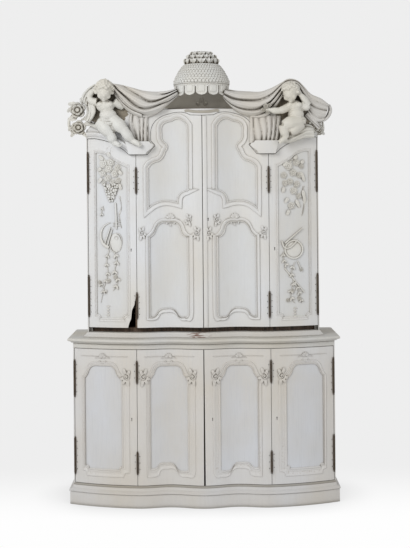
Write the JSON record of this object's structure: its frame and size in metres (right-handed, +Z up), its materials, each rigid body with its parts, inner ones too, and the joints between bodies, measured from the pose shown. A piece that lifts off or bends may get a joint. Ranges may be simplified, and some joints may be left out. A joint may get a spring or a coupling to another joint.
{
  "type": "two-part cabinet",
  "caption": "Tall painted cabinet in two parts with a bowed front, folding doors, shelves and a carved crown with canopy, drapery and figures.",
  "frame": {"origin": "middle of the bounding box, at the floor", "axes": "+X to the right of a person in front of it, +Y to its back, +Z up"},
  "size_m": [1.692, 0.624, 2.8],
  "materials": {
    "paint": "old matt paint, pale grey-white",
    "carving": "old matt paint on carving, grime in the hollows",
    "bare_wood": "aged bare wood inside and behind",
    "iron": "dark forged iron"
  },
  "bodies": {
    "root": {"plinth": "paint", "plinth_cap": "paint", "lower_floor": "bare_wood", "lower_side_left": "paint", "lower_side_right": "paint", "lower_back": "bare_wood", "lower_partitions": "bare_wood", "lower_shelf": "bare_wood", "lower_top_rail": "paint", "waist_top": "paint", "upper_base": "paint", "upper_floor": "bare_wood", "upper_side_left": "paint", "upper_side_right": "paint", "upper_partitions": "bare_wood", "upper_shelves": "bare_wood", "upper_tops": "bare_wood", "upper_back": "bare_wood", "frieze": "paint", "cornice_left": "paint", "cornice_right": "paint", "niche": "paint", "canopy": "carving", "crown_tuft": "carving", "lambrequin": "carving", "drapery_left": "carving", "drapery_right": "carving", "putto_left": "carving", "putto_right": "carving", "end_scroll_left": "carving", "end_scroll_right": "carving", "lower_case_hinges": "iron", "upper_case_hinges": "iron"},
    "lower_left_side_door": {"lower_side_door_left_frame": "paint", "lower_side_door_left_panel": "paint", "lower_side_left_ironwork": "iron"},
    "lower_left_centre_door": {"lower_centre_left_frame": "paint", "lower_centre_left_panel": "paint", "lower_centre_left_ironwork": "iron"},
    "lower_right_side_door": {"lower_side_door_right_frame": "paint", "lower_side_door_right_panel": "paint", "lower_side_right_ironwork": "iron"},
    "lower_right_centre_door": {"lower_centre_right_frame": "paint", "lower_centre_right_panel": "paint", "lower_centre_right_ironwork": "iron"},
    "upper_left_side_door": {"upper_side_door_left_frame": "paint", "upper_side_door_left_panel": "paint", "upper_side_left_ironwork": "iron", "trophy_left": "carving"},
    "upper_left_centre_door": {"upper_centre_left_frame": "paint", "upper_centre_left_panels": "paint", "upper_centre_left_ironwork": "iron"},
    "upper_right_side_door": {"upper_side_door_right_frame": "paint", "upper_side_door_right_panel": "paint", "upper_side_right_ironwork": "iron", "trophy_right": "carving"},
    "upper_right_centre_door": {"upper_centre_right_frame": "paint", "upper_centre_right_panels": "paint", "upper_centre_right_ironwork": "iron"}
  },
  "joints": [
    {"name": "lower_left_side_hinge", "type": "hinge", "parent": "root", "child": "lower_left_side_door", "pos_m": [-0.8035, -0.15524, 0.3], "axis": [0, 0, 1], "range_deg": [-100, 0]},
    {"name": "lower_left_centre_hinge", "type": "hinge", "parent": "lower_left_side_door", "child": "lower_left_centre_door", "pos_m": [-0.41, -0.26741, 0.3], "axis": [0, 0, 1], "range_deg": [-100, 0]},
    {"name": "lower_right_side_hinge", "type": "hinge", "parent": "root", "child": "lower_right_side_door", "pos_m": [0.8035, -0.15524, 0.3], "axis": [0, 0, 1], "range_deg": [0, 100]},
    {"name": "lower_right_centre_hinge", "type": "hinge", "parent": "lower_right_side_door", "child": "lower_right_centre_door", "pos_m": [0.41, -0.26741, 0.3], "axis": [0, 0, 1], "range_deg": [0, 100]},
    {"name": "upper_left_side_hinge", "type": "hinge", "parent": "root", "child": "upper_left_side_door", "pos_m": [-0.7145, -0.11356, 1.3], "axis": [0, 0, 1], "range_deg": [-100, 0]},
    {"name": "upper_left_centre_hinge", "type": "hinge", "parent": "upper_left_side_door", "child": "upper_left_centre_door", "pos_m": [-0.41, -0.18741, 1.3], "axis": [0, 0, 1], "range_deg": [-100, 0]},
    {"name": "upper_right_side_hinge", "type": "hinge", "parent": "root", "child": "upper_right_side_door", "pos_m": [0.7145, -0.11356, 1.3], "axis": [0, 0, 1], "range_deg": [0, 100]},
    {"name": "upper_right_centre_hinge", "type": "hinge", "parent": "upper_right_side_door", "child": "upper_right_centre_door", "pos_m": [0.41, -0.18741, 1.3], "axis": [0, 0, 1], "range_deg": [0, 100]}
  ]
}
